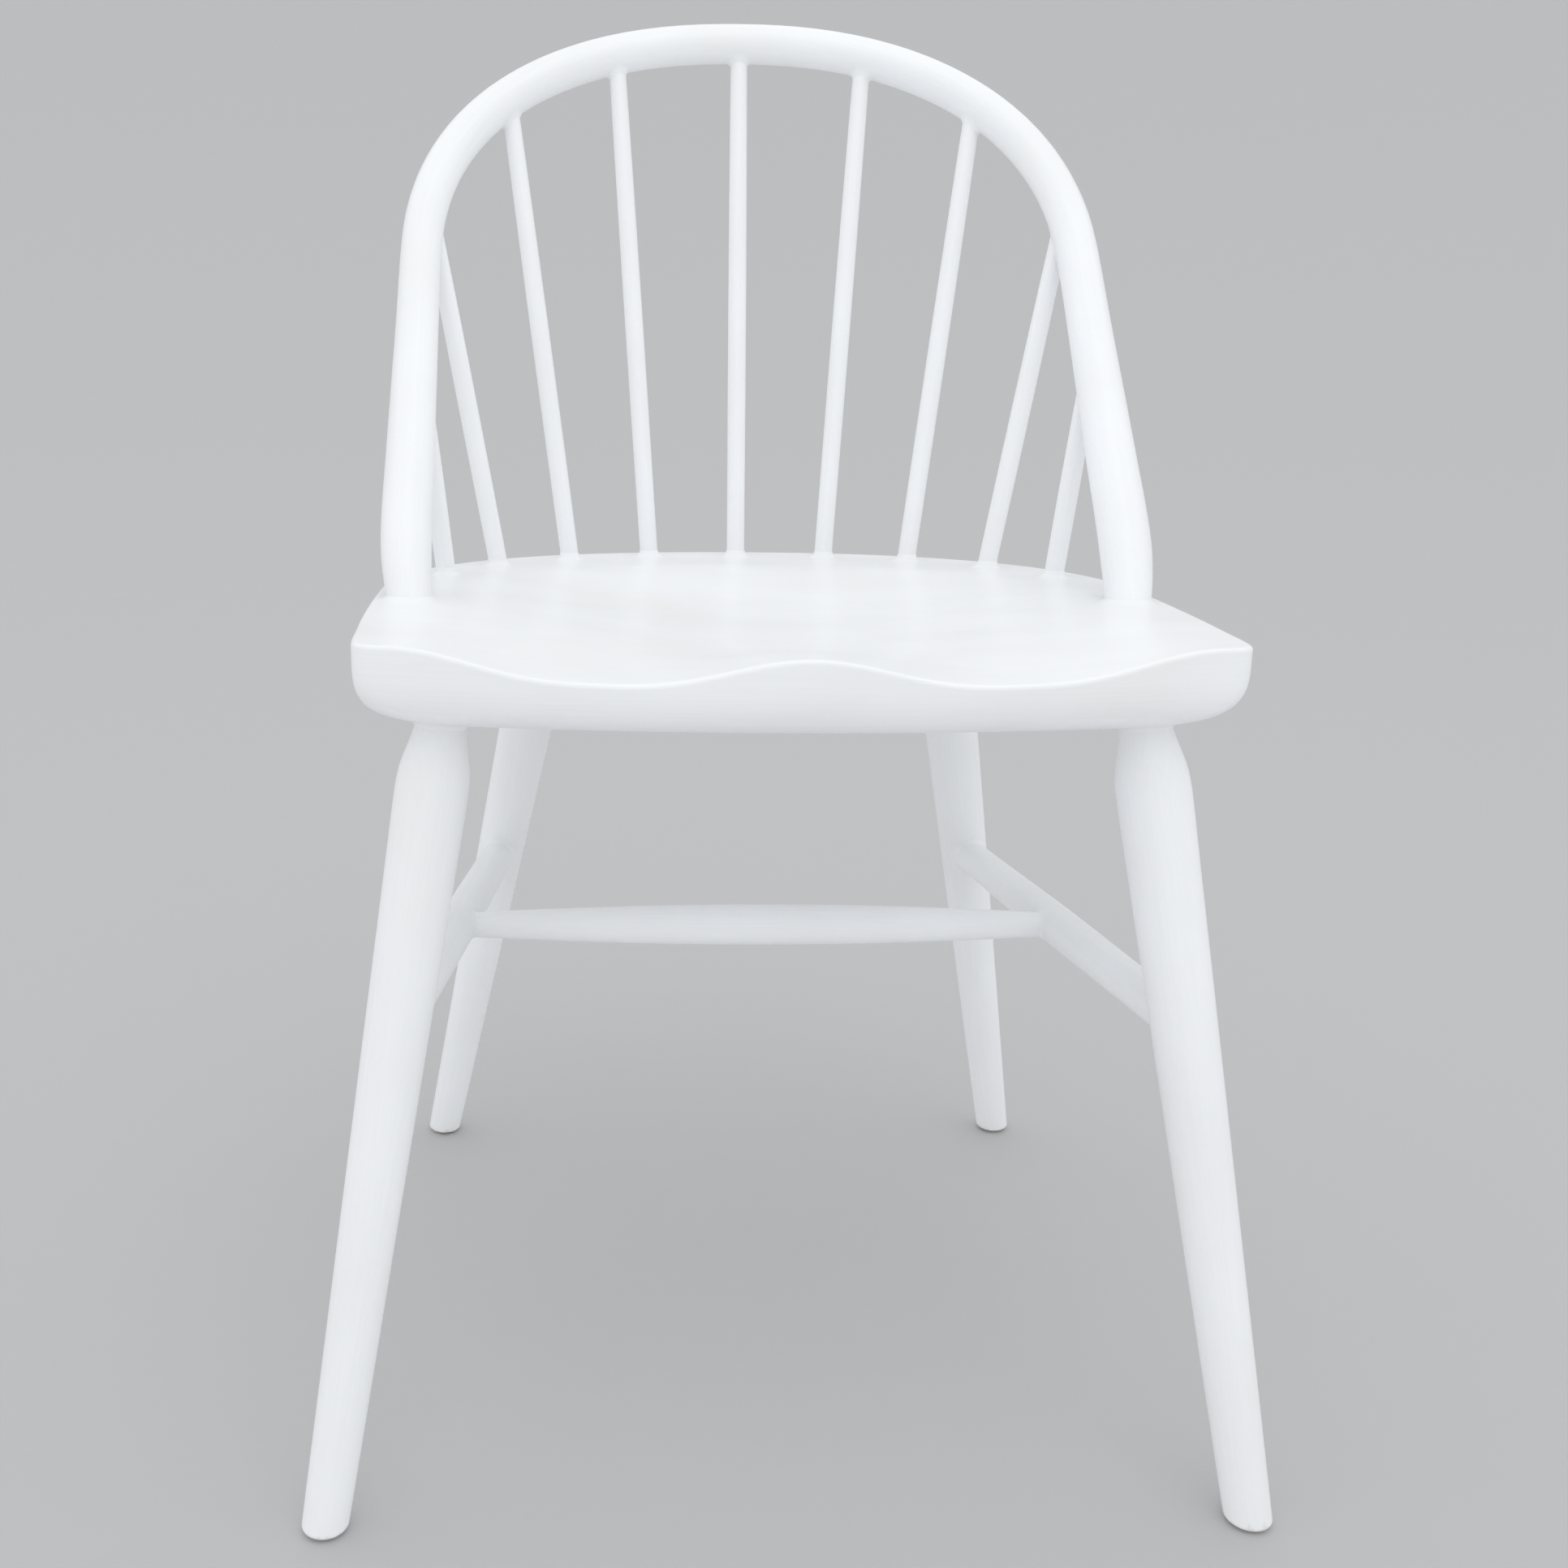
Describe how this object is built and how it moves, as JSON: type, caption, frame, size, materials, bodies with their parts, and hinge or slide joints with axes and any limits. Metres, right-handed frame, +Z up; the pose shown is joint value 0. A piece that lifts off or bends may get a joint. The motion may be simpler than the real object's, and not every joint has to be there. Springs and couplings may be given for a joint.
{
  "type": "windsor chair",
  "caption": "Hoop-back Windsor side chair in white painted wood, with a saddled seat, slender spindles and splayed turned legs joined by an H stretcher.",
  "frame": {"origin": "on the floor, under the centre of the chair's bounding box", "axes": "+Z up, +Y to the back of the chair so that the sitter faces -Y, +X to the right as seen from the front"},
  "size_m": [0.5092, 0.5395, 0.8076],
  "materials": {
    "seat_paint": "semi-gloss white paint on a solid wood plank",
    "hoop_paint": "semi-gloss white paint on bent wood",
    "spindle_paint": "semi-gloss white paint on turned wood",
    "leg_paint": "semi-gloss white paint on turned wood",
    "stretcher_paint": "semi-gloss white paint on turned wood",
    "glide_nylon": "matte off-white nylon",
    "nail_steel": "plain zinc-plated steel"
  },
  "bodies": {
    "root": {"seat": "seat_paint", "hoop": "hoop_paint", "spindle_1": "spindle_paint", "spindle_2": "spindle_paint", "spindle_3": "spindle_paint", "spindle_4": "spindle_paint", "spindle_5": "spindle_paint", "spindle_6": "spindle_paint", "spindle_7": "spindle_paint", "spindle_8": "spindle_paint", "spindle_9": "spindle_paint", "leg_front_left": "leg_paint", "glide_front_left": "glide_nylon", "leg_front_right": "leg_paint", "glide_front_right": "glide_nylon", "leg_back_left": "leg_paint", "glide_back_left": "glide_nylon", "leg_back_right": "leg_paint", "glide_back_right": "glide_nylon", "glide_nails": "nail_steel", "side_stretcher_left": "stretcher_paint", "side_stretcher_right": "stretcher_paint", "cross_stretcher": "stretcher_paint"}
  },
  "joints": []
}
